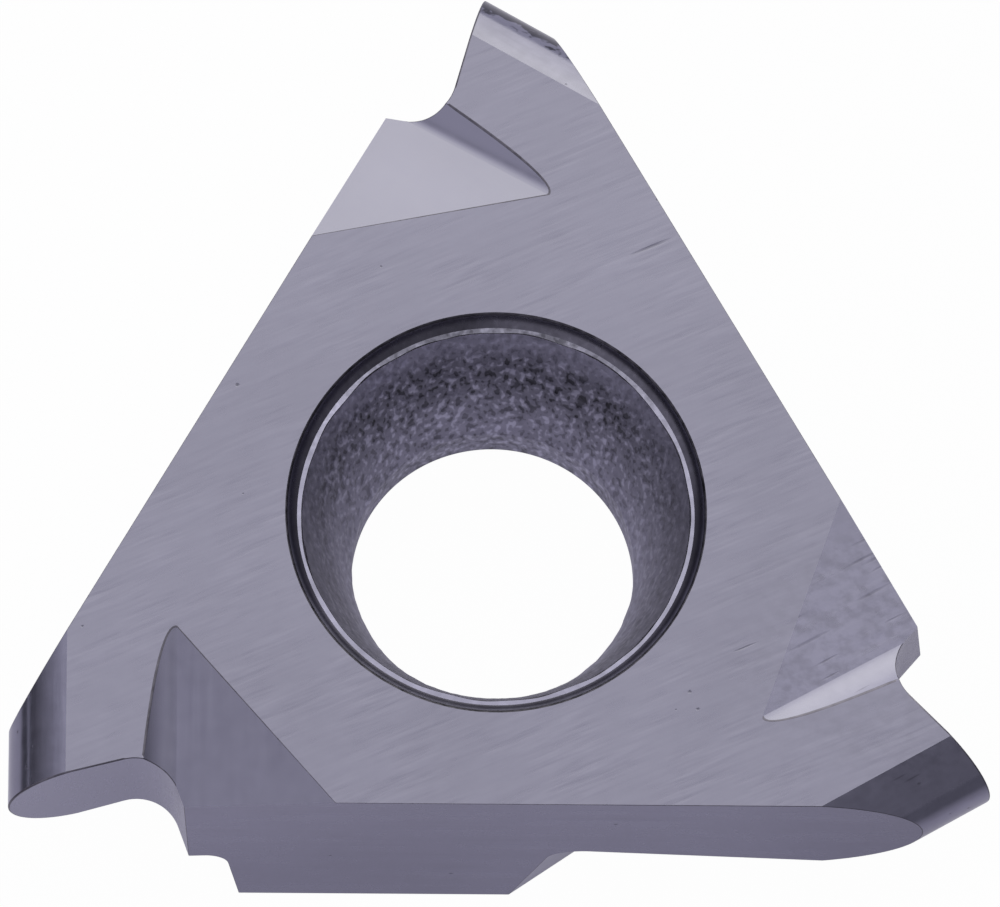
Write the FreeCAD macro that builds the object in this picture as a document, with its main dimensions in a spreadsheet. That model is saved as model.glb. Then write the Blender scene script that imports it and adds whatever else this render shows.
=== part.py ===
import FreeCAD, Part
import os
import math
import Sketcher

# Triangular grooving insert with three full-radius cutting noses.
# Origin: hole axis on the flat back face, +Z towards the ground front face.
# The corner worked below is the one at lower left; the other two are the
# same corner turned by 120 and 240 degrees about the hole axis.

doc = FreeCAD.newDocument("grooving_insert")

sheet = doc.addObject("Spreadsheet::Sheet", "sizes")

driving = [
    ("inscribed_circle", 12.7, "circle that touches the three front edges"),
    ("thickness", 4.76, "front face to back face"),
    ("side_flare", 5.9, "degrees each side leans outwards to the back"),
    ("nose_radius", 1.5, "half-round cutting nose"),
    ("nose_reach", 10.05, "hole axis to the end of the nose"),
    ("nose_depth", 1.47, "axis of the half round below the front face"),
    ("notch_radius", 0.94, "round root of the chip notch"),
    ("notch_offset", 7.42, "hole axis to the centre of the notch root"),
    ("notch_flank", 20.0, "degrees the notch opens beyond its round root"),
    ("rake_angle", 14.5, "degrees the rake face falls towards the nose"),
    ("pocket_reach", 6.56, "hole axis to the deep edge of the face pocket"),
    ("pocket_start", 2.55, "hole axis to the tip of the face pocket"),
    ("pocket_fall", 4.17, "degrees the pocket falls towards the notch"),
    ("pocket_lean", 4.8, "degrees the pocket floor falls towards the nose"),
    ("pocket_corner", 0.95, "round corner of the pocket"),
    ("blade_thickness", 2.75, "front face to relief ground at its inner corner"),
    ("relief_offset", 5.58, "hole axis to the foot of the relief wall"),
    ("relief_turn", 5.1, "degrees the relief wall turns off square"),
    ("relief_fall", 2.46, "degrees the blade thins towards its heel"),
    ("relief_lean", 4.6, "degrees the blade thickens towards the nose"),
    ("relief_wall", 7.5, "degrees the relief wall leans open"),
    ("relief_corner", 0.45, "round foot of the relief wall"),
    ("bore_radius", 2.96, "straight part of the hole"),
    ("bore_length", 1.0, "straight part of the hole, from the back face"),
    ("throat_radius", 4.0, "mouth of the curved seat"),
    ("throat_depth", 0.24, "mouth of the curved seat below the front face"),
    ("throat_sag", 0.06, "hollow of the curved seat off its chord"),
    ("land_width", 0.1, "narrow step around the mouth"),
    ("rim_radius", 4.34, "outer edge of the rim chamfer"),
]

derived = [
    ("inradius", "=inscribed_circle / 2"),
    ("back_inradius", "=inradius + thickness * tan(side_flare)"),
    ("corner_x", "=back_inradius * sqrt(3)"),
    ("apex_y", "=back_inradius * 2"),
    ("nose_x", "=-(nose_reach - nose_radius)"),
    ("nose_z", "=thickness - nose_depth"),
    ("crease_x", "=nose_x - sqrt(nose_radius ^ 2 - nose_depth ^ 2)"),
    ("blade_back", "=thickness - blade_thickness"),
]

row = 1
for alias, value, note in driving:
    sheet.set("A%d" % row, alias)
    sheet.set("B%d" % row, str(value))
    sheet.set("C%d" % row, note)
    sheet.setAlias("B%d" % row, alias)
    row += 1
for alias, formula in derived:
    sheet.set("A%d" % row, alias)
    sheet.set("B%d" % row, formula)
    sheet.setAlias("B%d" % row, alias)
    row += 1
doc.recompute()


def size(alias):
    return float(sheet.get(alias))


body = doc.addObject("PartDesign::Body", "grooving_insert")
body.Label = "grooving_insert"
planes = {item.Role: item for item in body.Origin.OriginFeatures}

X_AXIS = FreeCAD.Vector(1, 0, 0)
Y_AXIS = FreeCAD.Vector(0, 1, 0)

# How far cutting outlines run past the faces, and how long the cuts are
over = 1.0
clear = 3.0
through = 6 * size("inscribed_circle")


def sketch_on(role, name, base, turn=None):
    """New sketch on an origin plane, moved to base and turned within its axes."""
    sketch = body.newObject("Sketcher::SketchObject", name)
    sketch.AttachmentSupport = [(planes[role], "")]
    sketch.MapMode = "FlatFace"
    rotation = turn if turn is not None else FreeCAD.Rotation()
    sketch.AttachmentOffset = FreeCAD.Placement(FreeCAD.Vector(*base), rotation)
    return sketch


def outline(sketch, corners, arcs=None):
    """Closed outline through corners; arcs gives the middle point of side n.

    Each corner is (x, y) in numbers, or ((x, expression), (y, expression))
    where a size of the table should hold it.
    """
    arcs = arcs or {}
    points = []
    for corner in corners:
        points.append([item[0] if isinstance(item, tuple) else item for item in corner])
    vectors = [FreeCAD.Vector(x, y, 0) for x, y in points]
    count = len(vectors)
    for n in range(count):
        start = vectors[n]
        end = vectors[(n + 1) % count]
        if n in arcs:
            middle = FreeCAD.Vector(arcs[n][0], arcs[n][1], 0)
            clockwise = (middle - start).cross(end - middle).z < 0
            if clockwise:
                start, end = end, start
            sketch.addGeometry(Part.Arc(start, middle, end), False)
        else:
            sketch.addGeometry(Part.LineSegment(start, end), False)
    ends = []
    for n in range(count):
        geometry = sketch.Geometry[n]
        forward = geometry.StartPoint.distanceToPoint(vectors[n]) < 1e-6
        ends.append((1, 2) if forward else (2, 1))
    for n in range(count):
        after = (n + 1) % count
        sketch.addConstraint(Sketcher.Constraint("Coincident", n, ends[n][1], after, ends[after][0]))
    for n, corner in enumerate(corners):
        for way, item in zip(("DistanceX", "DistanceY"), corner):
            value = item[0] if isinstance(item, tuple) else item
            index = sketch.addConstraint(
                Sketcher.Constraint(way, -1, 1, n, ends[n][0], value))
            if isinstance(item, tuple):
                sketch.setExpression("Constraints[%d]" % index, item[1])
    for n in arcs:
        sketch.addConstraint(Sketcher.Constraint("Radius", n, sketch.Geometry[n].Radius))
    return sketch


def tied(alias, sign=1):
    """A coordinate held by one size of the table."""
    return (sign * size(alias), ("sizes." if sign > 0 else "-sizes.") + alias)


# Plate: equilateral triangle as large as the back face
plate_sketch = sketch_on("XY_Plane", "plate_outline", (0, 0, 0))
outline(plate_sketch, [
    (tied("corner_x", -1), tied("back_inradius", -1)),
    (tied("corner_x"), tied("back_inradius", -1)),
    (0, tied("apex_y")),
])
doc.recompute()

plate = body.newObject("PartDesign::Pad", "plate")
plate.Profile = plate_sketch
plate.setExpression("Length", "sizes.thickness")
doc.recompute()

# Hole: rim chamfer, narrow step, curved screw seat, straight bore
throat_z = size("thickness") - size("throat_depth")
land_outer = size("throat_radius") + size("land_width")
chamfer_fall = size("rim_radius") - land_outer
seat_low = (size("bore_radius"), size("bore_length"))
seat_high = (size("throat_radius"), throat_z)
chord_x = seat_high[0] - seat_low[0]
chord_y = seat_high[1] - seat_low[1]
chord = math.hypot(chord_x, chord_y)
seat_middle = (
    (seat_low[0] + seat_high[0]) / 2 - size("throat_sag") * chord_y / chord,
    (seat_low[1] + seat_high[1]) / 2 + size("throat_sag") * chord_x / chord,
)

hole_sketch = sketch_on("XZ_Plane", "hole_profile", (0, 0, 0))
outline(hole_sketch, [
    (0, -over),
    (tied("bore_radius"), -over),
    (tied("bore_radius"), tied("bore_length")),
    (tied("throat_radius"), throat_z),
    (land_outer, size("thickness") - chamfer_fall),
    (size("rim_radius") + over, size("thickness") + over),
    (0, size("thickness") + over),
], {2: seat_middle})
doc.recompute()

hole = body.newObject("PartDesign::Groove", "hole")
hole.Profile = hole_sketch
hole.ReferenceAxis = (hole_sketch, ["V_Axis"])
hole.Angle = 360.0
doc.recompute()

# Side: each side leans outwards from the front edge to the back edge
flare = math.tan(math.radians(size("side_flare")))
side_far = -size("inscribed_circle")

side_sketch = sketch_on("YZ_Plane", "side_profile", (0, 0, 0))
outline(side_sketch, [
    (tied("back_inradius", -1), 0),
    (-size("back_inradius") - over * flare, -over),
    (side_far, -over),
    (side_far, size("thickness") + over),
    (-size("inradius") + over * flare, size("thickness") + over),
    (tied("inradius", -1), tied("thickness")),
])
doc.recompute()

side = body.newObject("PartDesign::Pocket", "side_cut")
side.Profile = side_sketch
side.Length = through
side.Midplane = True
doc.recompute()

# Nose form: everything beyond the half round is ground away square to the edge
nose_x = size("nose_x")
nose_z = size("nose_z")
nose_r = size("nose_radius")
crease_x = size("crease_x")
top = size("thickness")
far = -size("inscribed_circle") - clear
angle_top = math.atan2(top - nose_z, crease_x - nose_x)
angle_middle = (angle_top + 1.5 * math.pi) / 2
nose_middle = (
    nose_x + nose_r * math.cos(angle_middle),
    nose_z + nose_r * math.sin(angle_middle),
)

nose_sketch = sketch_on("XZ_Plane", "nose_form", (0, 0, 0))
outline(nose_sketch, [
    (tied("crease_x"), tied("thickness")),
    (tied("nose_x"), nose_z - nose_r),
    (tied("nose_x"), -over),
    (far, -over),
    (far, top + over),
    (tied("crease_x"), top + over),
], {0: nose_middle})
doc.recompute()

nose = body.newObject("PartDesign::Pocket", "nose_cut")
nose.Profile = nose_sketch
nose.Length = through
nose.Midplane = True
doc.recompute()

# Back relief: the blade behind each nose is ground thinner than the plate
lean = math.tan(math.radians(size("relief_lean")))
wall = math.tan(math.radians(size("relief_wall")))
foot = size("relief_corner")
wall_angle = math.radians(90 - size("relief_wall"))
floor_angle = math.radians(size("relief_lean"))
# The round foot touches floor and wall at equal distances from their corner
inner = math.pi - wall_angle - floor_angle
touch = foot / math.tan(inner / 2)
floor_touch = (-touch * math.cos(floor_angle), -touch * math.sin(floor_angle))
wall_touch = (touch * math.cos(wall_angle), -touch * math.sin(wall_angle))
bisector = FreeCAD.Vector(floor_touch[0] + wall_touch[0], floor_touch[1] + wall_touch[1], 0)
bisector.normalize()
centre_far = foot / math.sin(inner / 2)
foot_middle = (
    bisector.x * (centre_far - foot),
    bisector.y * (centre_far - foot),
)
relief_far = size("inscribed_circle")
relief_down = size("blade_back") + clear

turn_relief = FreeCAD.Rotation(Y_AXIS, size("relief_turn")).multiply(
    FreeCAD.Rotation(X_AXIS, size("relief_fall")))
relief_sketch = sketch_on(
    "XZ_Plane", "relief_profile",
    (-size("relief_offset"), size("blade_back"), size("inradius")), turn_relief)
outline(relief_sketch, [
    floor_touch,
    wall_touch,
    (relief_down * wall, -relief_down),
    (-relief_far, -relief_down),
    (-relief_far, -relief_far * lean),
], {0: foot_middle})
doc.recompute()

relief = body.newObject("PartDesign::Pocket", "back_relief")
relief.Profile = relief_sketch
relief.Length = through
relief.Midplane = True
doc.recompute()

# Chip notch: round root and straight rake face, cut through the thickness
root_r = size("notch_radius")
root_x = -size("notch_offset")
edge_y = -size("inradius")
rake = math.radians(size("rake_angle"))
flank = math.radians(size("notch_flank"))
rake_start = (root_x - root_r * math.sin(rake), edge_y + root_r * math.cos(rake))
rake_end = (far, rake_start[1] - (rake_start[0] - far) * math.tan(rake))
flank_start = (root_x + root_r * math.cos(flank), edge_y + root_r * math.sin(flank))
notch_low = edge_y - clear
flank_end = (flank_start[0] + (flank_start[1] - notch_low) * math.tan(flank), notch_low)
root_angle = (flank + math.pi / 2 + rake) / 2
root_middle = (root_x + root_r * math.cos(root_angle), edge_y + root_r * math.sin(root_angle))

notch_sketch = sketch_on("XY_Plane", "notch_profile", (0, 0, 0))
outline(notch_sketch, [
    flank_start,
    rake_start,
    rake_end,
    (far, notch_low),
    flank_end,
], {0: root_middle})
doc.recompute()

notch = body.newObject("PartDesign::Pocket", "chip_notch")
notch.Profile = notch_sketch
notch.Length = through
notch.Midplane = True
doc.recompute()

# Face pocket: sloping floor with a round corner, running out into the notch
corner = size("pocket_corner")
floor = math.radians(size("pocket_lean"))
centre = (-corner * math.sin(floor), corner * math.cos(floor))
left = (centre[0] - corner, centre[1])
arc_angle = (math.pi + (1.5 * math.pi + floor)) / 2
pocket_middle = (
    centre[0] + corner * math.cos(arc_angle),
    centre[1] + corner * math.sin(arc_angle),
)
reach = size("inscribed_circle")
lift = reach * math.tan(floor) + corner

turn_pocket = FreeCAD.Rotation(X_AXIS, size("pocket_fall"))
pocket_sketch = sketch_on(
    "XZ_Plane", "pocket_profile",
    (-size("pocket_reach"), size("thickness"), size("pocket_start")), turn_pocket)
outline(pocket_sketch, [
    left,
    (0, 0),
    (reach, reach * math.tan(floor)),
    (reach, lift),
    (left[0], lift),
], {0: pocket_middle})
doc.recompute()

pocket = body.newObject("PartDesign::Pocket", "face_pocket")
pocket.Profile = pocket_sketch
pocket.Length = 2 * size("inscribed_circle")
pocket.Midplane = True
doc.recompute()

# The same side and corner three times around the hole
corners = body.newObject("PartDesign::PolarPattern", "three_corners")
corners.Originals = [side, nose, relief, notch, pocket]
corners.Axis = (planes["Z_Axis"], [""])
corners.Angle = 360.0
corners.Occurrences = 3
body.Tip = corners
doc.recompute()

steps = [plate, hole, side, nose, relief, notch, pocket, corners]
before = None
for step in steps:
    state = [word for word in step.State if word in ("Invalid", "Error")]
    volume = step.Shape.Volume
    print(step.Name, "volume %.3f" % volume, state or "ok")
    if state or not step.Shape.isValid():
        raise RuntimeError(step.Name + " did not build")
    if before is not None and volume >= before - 1e-4:
        raise RuntimeError(step.Name + " cut nothing")
    before = volume

shape = body.Shape
box = shape.BoundBox
print("solids", len(shape.Solids), "faces", len(shape.Faces), "volume %.2f" % shape.Volume)
print("x %.3f %.3f" % (box.XMin, box.XMax))
print("y %.3f %.3f" % (box.YMin, box.YMax))
print("z %.3f %.3f" % (box.ZMin, box.ZMax))
if len(shape.Solids) != 1:
    raise RuntimeError("the insert must be one solid")

os.makedirs("parts", exist_ok=True)
shape.exportStep("parts/grooving_insert.step")
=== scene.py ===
# %% [markdown]
# # A ground carbide grooving insert
# The object is a small three-cornered cutting insert, pressed and sintered from tungsten carbide
# and then ground. It is one solid piece with a flared hole for its screw. This lesson makes it
# the way a grinding shop does: start from a plain three-sided blank, then let a set of wheels
# cut the three noses, notches, pockets and reliefs. Every wheel leaves its own finish behind,
# and that is what makes ground metal look real.

# %% Load the frame
import math
import bpy
import bmesh
from mathutils import Matrix, Vector, noise


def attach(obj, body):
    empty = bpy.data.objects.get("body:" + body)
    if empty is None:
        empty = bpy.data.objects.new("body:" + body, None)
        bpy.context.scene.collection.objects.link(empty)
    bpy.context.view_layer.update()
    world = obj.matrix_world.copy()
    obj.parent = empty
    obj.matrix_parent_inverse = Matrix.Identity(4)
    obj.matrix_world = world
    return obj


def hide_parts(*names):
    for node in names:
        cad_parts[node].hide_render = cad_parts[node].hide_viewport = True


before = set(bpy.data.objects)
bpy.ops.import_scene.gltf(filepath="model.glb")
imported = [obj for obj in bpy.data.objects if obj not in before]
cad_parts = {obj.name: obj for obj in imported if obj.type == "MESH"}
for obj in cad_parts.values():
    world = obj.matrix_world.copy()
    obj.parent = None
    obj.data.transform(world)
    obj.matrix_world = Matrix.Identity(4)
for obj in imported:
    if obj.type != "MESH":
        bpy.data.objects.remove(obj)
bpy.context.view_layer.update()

# %% [markdown]
# ## Sizes
# All sizes are in millimetres and degrees, as on a workshop drawing. The origin is the hole's
# axis on the flat back face, and Z points to the ground front face. The corner described is
# the one at lower left; the other two are the same corner turned by 120 and 240 degrees, so
# nothing is described three times. The shape is worked in millimetres and shrunk to metres
# once at the end, because round numbers are easier to check. FAR and OVER say how far a wheel
# reaches past the plate. One corner has been used: its place and the reach of its wear stand
# here too, because both the hone and the finishes ask for them.

# %% Sizes of the plate and of one corner
MM = 0.001
CORNERS = 3
THICKNESS = 4.76
FRONT_INRADIUS = 6.35
SIDE_FLARE = math.radians(5.9)
BACK_INRADIUS = FRONT_INRADIUS + THICKNESS * math.tan(SIDE_FLARE)

NOSE_RADIUS = 1.5
NOSE_AXIS_X = -8.55
NOSE_AXIS_Z = THICKNESS - 1.47

USED_CORNER = Vector((7.6, -3.0, 4.6))
WORN_REACH = 3.6

FAR = 16.0
OVER = 1.0

print("back face inradius", round(BACK_INRADIUS, 3))

# %% [markdown]
# ## One list of finishes
# A wheel marks every face that it cuts. In Blender a face holds the number of a material slot,
# and a Boolean keeps that number on the faces that it makes. So the blank and all the wheels
# carry the same list of finishes, and the right finish lands on each face by itself. The
# alternative, picking faces afterwards, breaks as soon as a size changes.

# %% Finishes, still without their nodes
FINISHES = ["front_ground", "back_ground", "side_ground", "nose_ground", "notch_ground",
            "pocket_ground", "pocket_round", "relief_ground", "rim_sintered", "mouth_land",
            "seat_sintered", "honed_edge"]
materials = {name: bpy.data.materials.new(name) for name in FINISHES}
slot_of = {name: number for number, name in enumerate(FINISHES)}
print(len(FINISHES), "finishes")

# %% [markdown]
# ## The blank
# Seen from the side, each edge of the plate leans outwards to the back. A cone with three sides
# is exactly such a block: two triangles of different size with flat walls between them. That
# is quicker and cleaner than tilting three cutting planes.

# %% Three-sided blank
FACES_UP = 0.9


def new_object(name, data):
    """An object with this mesh or camera, placed in the scene."""
    made = bpy.data.objects.new(name, data)
    bpy.context.scene.collection.objects.link(made)
    return made


def mesh_object(name, bm):
    """Turns a bmesh into an object that carries the list of finishes."""
    mesh = bpy.data.meshes.new(name)
    bm.to_mesh(mesh)
    bm.free()
    for finish in FINISHES:
        mesh.materials.append(materials[finish])
    return new_object(name, mesh)


bm = bmesh.new()
bmesh.ops.create_cone(bm, cap_ends=True, segments=CORNERS, radius1=2 * BACK_INRADIUS,
                      radius2=2 * FRONT_INRADIUS, depth=THICKNESS,
                      matrix=Matrix.Translation((0, 0, THICKNESS / 2)))
bm.normal_update()
for face in bm.faces:
    if face.normal.z > FACES_UP:
        face.material_index = slot_of["front_ground"]
    elif face.normal.z < -FACES_UP:
        face.material_index = slot_of["back_ground"]
    else:
        face.material_index = slot_of["side_ground"]
blank = mesh_object("blank", bm)
print("blank has", len(blank.data.polygons), "faces")

# %% [markdown]
# ## Wheels
# A grinding wheel that moves in a straight line cuts a straight groove, whose section is the
# wheel's own profile. So each wheel here is a profile drawn out into a long bar. A profile is
# a path of points with round parts: `spin` swings the last point around a centre, which gives
# a true arc with as many steps as wanted. Small steps matter, because each arc of a cutting
# edge shows against the white background.

# %% Drawing a profile and sweeping it
ARC_STEP = math.radians(2.5)
NARROW_FACE = 0.1


def swung_point(swung):
    """The point at which a spin of one point has ended."""
    return next(item for item in swung["geom_last"] if isinstance(item, bmesh.types.BMVert))


def draw_profile(bm, path):
    """Joins points, and arcs given as (centre x, centre y, degrees), into one closed face."""
    first = last = None
    for part in path:
        if len(part) == 3:
            angle = math.radians(part[2])
            steps = max(2, round(abs(angle) / ARC_STEP))
            swung = bmesh.ops.spin(bm, geom=[last], cent=(part[0], part[1], 0), axis=(0, 0, 1),
                                   angle=angle, steps=steps, use_merge=False)
            last = swung_point(swung)
        else:
            corner = bm.verts.new((part[0], part[1], 0))
            if last:
                bm.edges.new((last, corner))
            last = corner
        first = first or last
    bm.edges.new((last, first))
    return bmesh.ops.contextual_create(bm, geom=bm.edges[:])["faces"][0]


def wheel(name, path, place, length, finish, round_finish=None):
    """A straight bar with this profile, centred on the profile's plane and put in place."""
    bm = bmesh.new()
    face = draw_profile(bm, path)
    bmesh.ops.translate(bm, verts=bm.verts, vec=(0, 0, -length / 2))
    drawn = bmesh.ops.extrude_face_region(bm, geom=[face])["geom"]
    tops = [item for item in drawn if isinstance(item, bmesh.types.BMVert)]
    bmesh.ops.translate(bm, verts=tops, vec=(0, 0, length))
    bmesh.ops.recalc_face_normals(bm, faces=bm.faces)
    bmesh.ops.transform(bm, matrix=place, verts=bm.verts)
    for face in bm.faces:
        face.material_index = slot_of[finish]
        if round_finish and face.calc_area() < NARROW_FACE * length:
            face.material_index = slot_of[round_finish]
    made = mesh_object(name, bm)
    print(name, "has", len(made.data.polygons), "faces")
    return made


LYING = Matrix.Rotation(math.radians(90), 4, "X")

# %% [markdown]
# ## The nose
# Each cutting nose is half round, 3 mm wide, and its round runs along the edge, so that the
# tool clears the groove it cuts. The wheel for it is hollow: its profile follows the half
# round from a crease in the front face down to the lowest point and takes away all beyond it.

# %% Nose wheel
LOWEST = 270
crease_x = NOSE_AXIS_X - math.sqrt(NOSE_RADIUS ** 2 - (THICKNESS - NOSE_AXIS_Z) ** 2)
crease_angle = math.degrees(math.atan2(THICKNESS - NOSE_AXIS_Z, crease_x - NOSE_AXIS_X))
nose_wheel = wheel("nose_wheel", [
    (crease_x, THICKNESS),
    (NOSE_AXIS_X, NOSE_AXIS_Z, LOWEST - crease_angle),
    (NOSE_AXIS_X, -OVER),
    (-FAR, -OVER),
    (-FAR, THICKNESS + OVER),
    (crease_x, THICKNESS + OVER),
], LYING, 4 * FAR, "nose_ground")

# %% [markdown]
# ## The back relief
# Behind each nose the plate is ground away from the back, which leaves a blade nearly 3 mm
# thick that fits into the groove. The wheel stands a little askew: its wall is turned, its
# floor falls towards the heel, and a small round joins the two.

# %% Relief wheel
RELIEF_OFFSET = 5.58
BLADE = 2.75
BLADE_BACK = THICKNESS - BLADE
RELIEF_TURN = math.radians(5.1)
RELIEF_FALL = math.radians(2.46)
RELIEF_LEAN = math.radians(4.6)
RELIEF_WALL = math.radians(7.5)
RELIEF_ROUND = 0.45
RELIEF_DEEP = BLADE_BACK + 3 * OVER

foot_angle = math.radians(90) + RELIEF_WALL - RELIEF_LEAN
touch = RELIEF_ROUND / math.tan(foot_angle / 2)
wall_touch = (touch * math.sin(RELIEF_WALL), -touch * math.cos(RELIEF_WALL))
foot_centre = (wall_touch[0] - RELIEF_ROUND * math.cos(RELIEF_WALL),
               wall_touch[1] - RELIEF_ROUND * math.sin(RELIEF_WALL))
relief_place = (LYING @ Matrix.Translation((-RELIEF_OFFSET, BLADE_BACK, FRONT_INRADIUS))
                @ Matrix.Rotation(RELIEF_TURN, 4, "Y") @ Matrix.Rotation(RELIEF_FALL, 4, "X"))
relief_wheel = wheel("relief_wheel", [
    (RELIEF_DEEP * math.tan(RELIEF_WALL), -RELIEF_DEEP),
    wall_touch,
    (*foot_centre, 180 - math.degrees(foot_angle)),
    (-FAR, -FAR * math.tan(RELIEF_LEAN)),
    (-FAR, -RELIEF_DEEP),
], relief_place, 4 * FAR, "relief_ground")

# %% [markdown]
# ## The chip notch
# In front of each nose a notch goes right through the thickness. Its straight side is the rake
# face, over which the chip slides, and its root is round so that the chip curls. The wheel
# goes through along Z, so its profile is drawn flat in the plane of the plate.

# %% Notch wheel
ROOT_RADIUS = 0.94
ROOT_X = -7.42
ROOT_Y = -FRONT_INRADIUS
RAKE_ANGLE = math.radians(14.5)
NOTCH_FLANK = math.radians(20)
NOTCH_LOW = ROOT_Y - 3 * OVER

flank_start = (ROOT_X + ROOT_RADIUS * math.cos(NOTCH_FLANK),
               ROOT_Y + ROOT_RADIUS * math.sin(NOTCH_FLANK))
rake_start = (ROOT_X - ROOT_RADIUS * math.sin(RAKE_ANGLE),
              ROOT_Y + ROOT_RADIUS * math.cos(RAKE_ANGLE))
notch_wheel = wheel("notch_wheel", [
    (flank_start[0] + (flank_start[1] - NOTCH_LOW) * math.tan(NOTCH_FLANK), NOTCH_LOW),
    flank_start,
    (ROOT_X, ROOT_Y, math.degrees(math.radians(90) + RAKE_ANGLE - NOTCH_FLANK)),
    (-FAR, rake_start[1] - (rake_start[0] + FAR) * math.tan(RAKE_ANGLE)),
    (-FAR, NOTCH_LOW),
], Matrix.Identity(4), 2 * FAR, "notch_ground")

# %% [markdown]
# ## The face pocket
# Beside the notch the front face is ground down in a long triangle, so that chips leave the
# notch freely. The floor slopes two ways, so it runs out to nothing on one side and to a point
# at its tip, and the deep side keeps the round corner of the wheel. Its corner is dressed
# finer than its flat, so the round gets a finish of its own: the narrow faces of the bar. The
# round doesn't run quite smoothly into the flat, and that slight bend draws a clear line.

# %% Pocket wheel
POCKET_REACH = 6.515
POCKET_START = 2.602
POCKET_FALL = math.radians(4.17)
POCKET_LEAN = math.radians(4.8)
POCKET_ROUND = 1.10
POCKET_BEND = math.radians(3)

round_centre = (-POCKET_ROUND * math.sin(POCKET_LEAN), POCKET_ROUND * math.cos(POCKET_LEAN))
floor_rise = POCKET_ROUND * (1 - math.cos(POCKET_BEND)) / math.cos(POCKET_LEAN)
pocket_lift = FAR * math.tan(POCKET_LEAN) + OVER
pocket_place = (LYING @ Matrix.Translation((-POCKET_REACH, THICKNESS, POCKET_START))
                @ Matrix.Rotation(POCKET_FALL, 4, "X"))
pocket_wheel = wheel("pocket_wheel", [
    (round_centre[0] - POCKET_ROUND, pocket_lift),
    (round_centre[0] - POCKET_ROUND, round_centre[1]),
    (*round_centre, 90 + math.degrees(POCKET_LEAN - POCKET_BEND)),
    (FAR, FAR * math.tan(POCKET_LEAN) + floor_rise),
    (FAR, pocket_lift),
], pocket_place, 2 * FAR, "pocket_ground", "pocket_round")

# %% [markdown]
# ## The hole
# The hole is pressed, not ground: a hollow chamfer at the rim, a narrow flat land, a curved seat
# for the screw's head and a short straight bore. The chamfer is steep at the rim and flat at
# the land, so it is black outside and light inside; the land's light is partly a painted
# highlight in its colour. Turning a profile around the axis is the natural way. The seat gets
# many rings, because its rough skin is shaped later on them.

# %% Core of the hole
BORE_RADIUS = 2.96
BORE_LENGTH = 1.0
THROAT_RADIUS = 4.015
THROAT_DROP = 0.32
LAND_OUTER = 4.12
LAND_DROP = 0.29
RIM_RADIUS = 4.33
RIM_BOW = -0.035
RIM_RINGS = 6
PAST_FACE = 0.004
SEAT_BOW = 0.06
SEAT_RINGS = 44
TURN_STEPS = 256
JOIN = 1e-4
HAIR = 0.001


def bowed_line(bm, start, end, bow, rings):
    """Swings a point along an arc to the end point; bow is how far the arc leaves its chord."""
    chord = end - start.co
    radius = (chord.length ** 2 / 4 + bow ** 2) / (2 * abs(bow))
    side = math.copysign(1, bow)
    across = Vector((chord.z, 0, -chord.x)).normalized() * side
    centre = (start.co + end) / 2 + across * (radius - abs(bow))
    angle = side * 2 * math.asin(chord.length / 2 / radius)
    swung = bmesh.ops.spin(bm, geom=[start], cent=centre, axis=(0, 1, 0), angle=angle,
                           steps=rings, use_merge=False)
    reached = swung_point(swung)
    print("arc misses its end by", round((reached.co - end).length, 5), "mm")
    return reached


bm = bmesh.new()
low = bm.verts.new((BORE_RADIUS, 0, BORE_LENGTH))
mouth_end = Vector((THROAT_RADIUS, 0, THICKNESS - THROAT_DROP))
mouth = bowed_line(bm, low, mouth_end, SEAT_BOW, SEAT_RINGS)
land = bm.verts.new((LAND_OUTER, 0, THICKNESS - LAND_DROP))
rim_end = Vector((RIM_RADIUS, 0, THICKNESS + PAST_FACE))
rim = bowed_line(bm, land, rim_end, RIM_BOW, RIM_RINGS)
below = [bm.verts.new((radius, 0, -OVER)) for radius in (0, BORE_RADIUS)]
between = bm.verts.new((THROAT_RADIUS, 0, THICKNESS - LAND_DROP))
above = [bm.verts.new((radius, 0, THICKNESS + OVER)) for radius in (RIM_RADIUS, 0)]
for chain in [below + [low], [mouth, between, land], [rim] + above]:
    for a, b in zip(chain, chain[1:]):
        bm.edges.new((a, b))
bmesh.ops.spin(bm, geom=bm.verts[:] + bm.edges[:], cent=(0, 0, 0), axis=(0, 0, 1),
               angle=math.radians(360), steps=TURN_STEPS, use_merge=True)
bmesh.ops.remove_doubles(bm, verts=bm.verts, dist=JOIN)
bmesh.ops.recalc_face_normals(bm, faces=bm.faces)
for face in bm.faces:
    height = face.calc_center_median().z
    if height > THICKNESS - LAND_DROP + HAIR:
        face.material_index = slot_of["rim_sintered"]
    elif height > THICKNESS - LAND_DROP - HAIR:
        face.material_index = slot_of["mouth_land"]
    else:
        face.material_index = slot_of["seat_sintered"]
core = mesh_object("hole_core", bm)
print("core of the hole has", len(core.data.polygons), "faces")

# %% [markdown]
# ## Cutting
# A Boolean modifier takes one bar away from the blank. The exact solver is chosen, because the
# cuts meet at shallow angles. Each wheel works three times: its mesh is shared by three
# objects that differ only by a turn about the hole's axis, as the real blank is indexed on
# the machine.

# %% Cut all corners and the hole
def cut(target, tool, turn=0.0):
    """Adds one Boolean cut with a copy of the tool, turned about the hole's axis."""
    copy = new_object(tool.name + "_turned", tool.data)
    copy.matrix_world = Matrix.Rotation(turn, 4, "Z")
    step = target.modifiers.new(tool.name, "BOOLEAN")
    step.operation = "DIFFERENCE"
    step.solver = "EXACT"
    step.material_mode = "INDEX"
    step.object = copy
    return copy


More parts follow.
